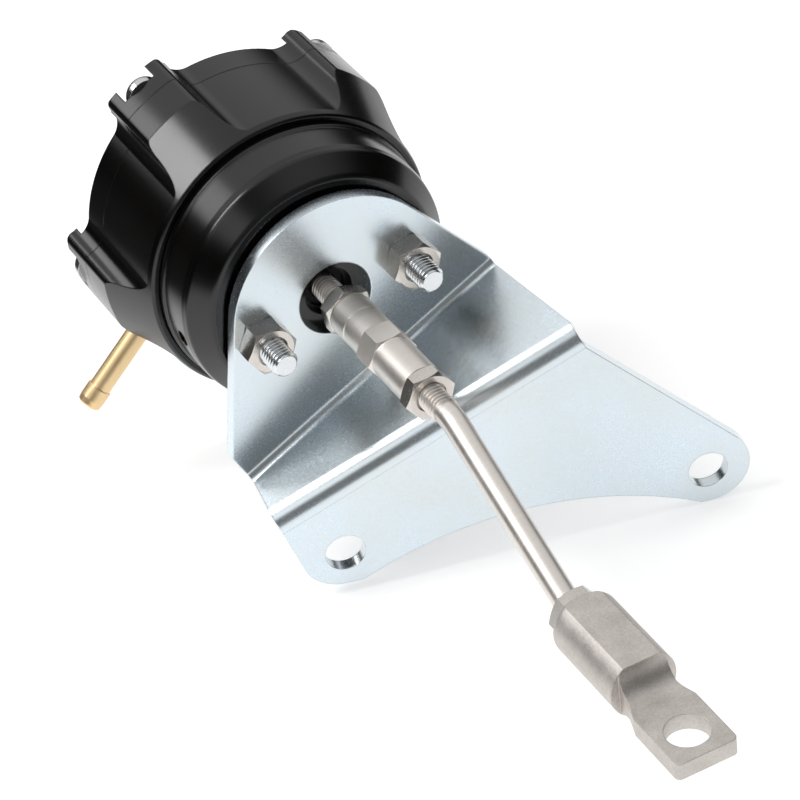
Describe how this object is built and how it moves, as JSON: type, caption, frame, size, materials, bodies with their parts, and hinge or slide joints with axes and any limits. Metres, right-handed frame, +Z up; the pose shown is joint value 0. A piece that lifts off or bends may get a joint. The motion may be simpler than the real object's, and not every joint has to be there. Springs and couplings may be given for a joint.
{
  "type": "turbo wastegate actuator",
  "caption": "Pneumatic actuator that opens a turbocharger's wastegate: a lobed canister on a bent mounting plate, with a sprung shaft, an adjuster sleeve, a bent link rod and an eyed rod end.",
  "frame": {"origin": "midway between the bracket's two bolt holes, on the seating face at the bracket's rear", "axes": "+Z up, across the two bolt holes and towards the canister; -Y along the actuator's shaft, out of its nose towards the rod end; +X to the right when looking at the nose"},
  "size_m": [0.1202, 0.1978, 0.099],
  "materials": {
    "black_anodised": "satin black anodised",
    "brass": "turned, bright",
    "seal_rubber": "matte",
    "screw_steel": "bright zinc plated",
    "plate_zinc": "bright bluish zinc plated sheet",
    "stud_zinc": "bright zinc plated",
    "nut_steel": "warm grey plated",
    "diaphragm_cloth": "rubber coated cloth",
    "piston_aluminium": "pressed",
    "spring_steel": "oiled",
    "clip_steel": "black phosphated",
    "bush_bronze": "sintered bronze",
    "rod_stainless": "polished stainless",
    "rod_end_steel": "satin stainless"
  },
  "bodies": {
    "housing": {"pressure_cap": "black_anodised", "clamp_collar": "black_anodised", "spring_housing": "black_anodised", "hose_barb": "brass", "port_seal": "seal_rubber", "cap_screws": "screw_steel", "mounting_studs": "stud_zinc", "stud_nuts": "nut_steel", "bracket": "plate_zinc", "diaphragm": "diaphragm_cloth", "outer_spring": "spring_steel", "inner_spring": "spring_steel", "spring_seat": "screw_steel", "shaft_bush": "bush_bronze", "shaft_wiper": "seal_rubber", "wiper_circlip": "clip_steel"},
    "shaft": {"piston": "piston_aluminium", "diaphragm_washer": "screw_steel", "piston_nut": "screw_steel", "actuator_shaft": "rod_stainless", "shaft_locknut": "nut_steel"},
    "adjuster": {"adjuster_sleeve": "rod_stainless"},
    "link": {"rod_locknut": "nut_steel", "link_rod": "rod_stainless", "rod_end_locknut": "nut_steel", "rod_end": "rod_end_steel"}
  },
  "joints": [
    {"name": "shaft_slide", "type": "slide", "parent": "housing", "child": "shaft", "axis": [0, -1, 0], "range_m": [0, 0.012], "stiffness_N_per_m": 8000, "springref_m": -0.015, "deforming": ["outer_spring", "inner_spring", "diaphragm"]},
    {"name": "adjuster_turn", "type": "hinge", "parent": "shaft", "child": "adjuster", "pos_m": [-0.0272, 0.00386, 0.053], "axis": [0, -1, 0], "range_deg": [0, 1080]},
    {"name": "link_extend", "type": "slide", "parent": "shaft", "child": "link", "axis": [0, -1, 0], "range_m": [0, 0.006]}
  ],
  "couplings": [
    {"joint": "adjuster_turn", "follows": "link_extend", "rad_per_m": 3141.6}
  ]
}
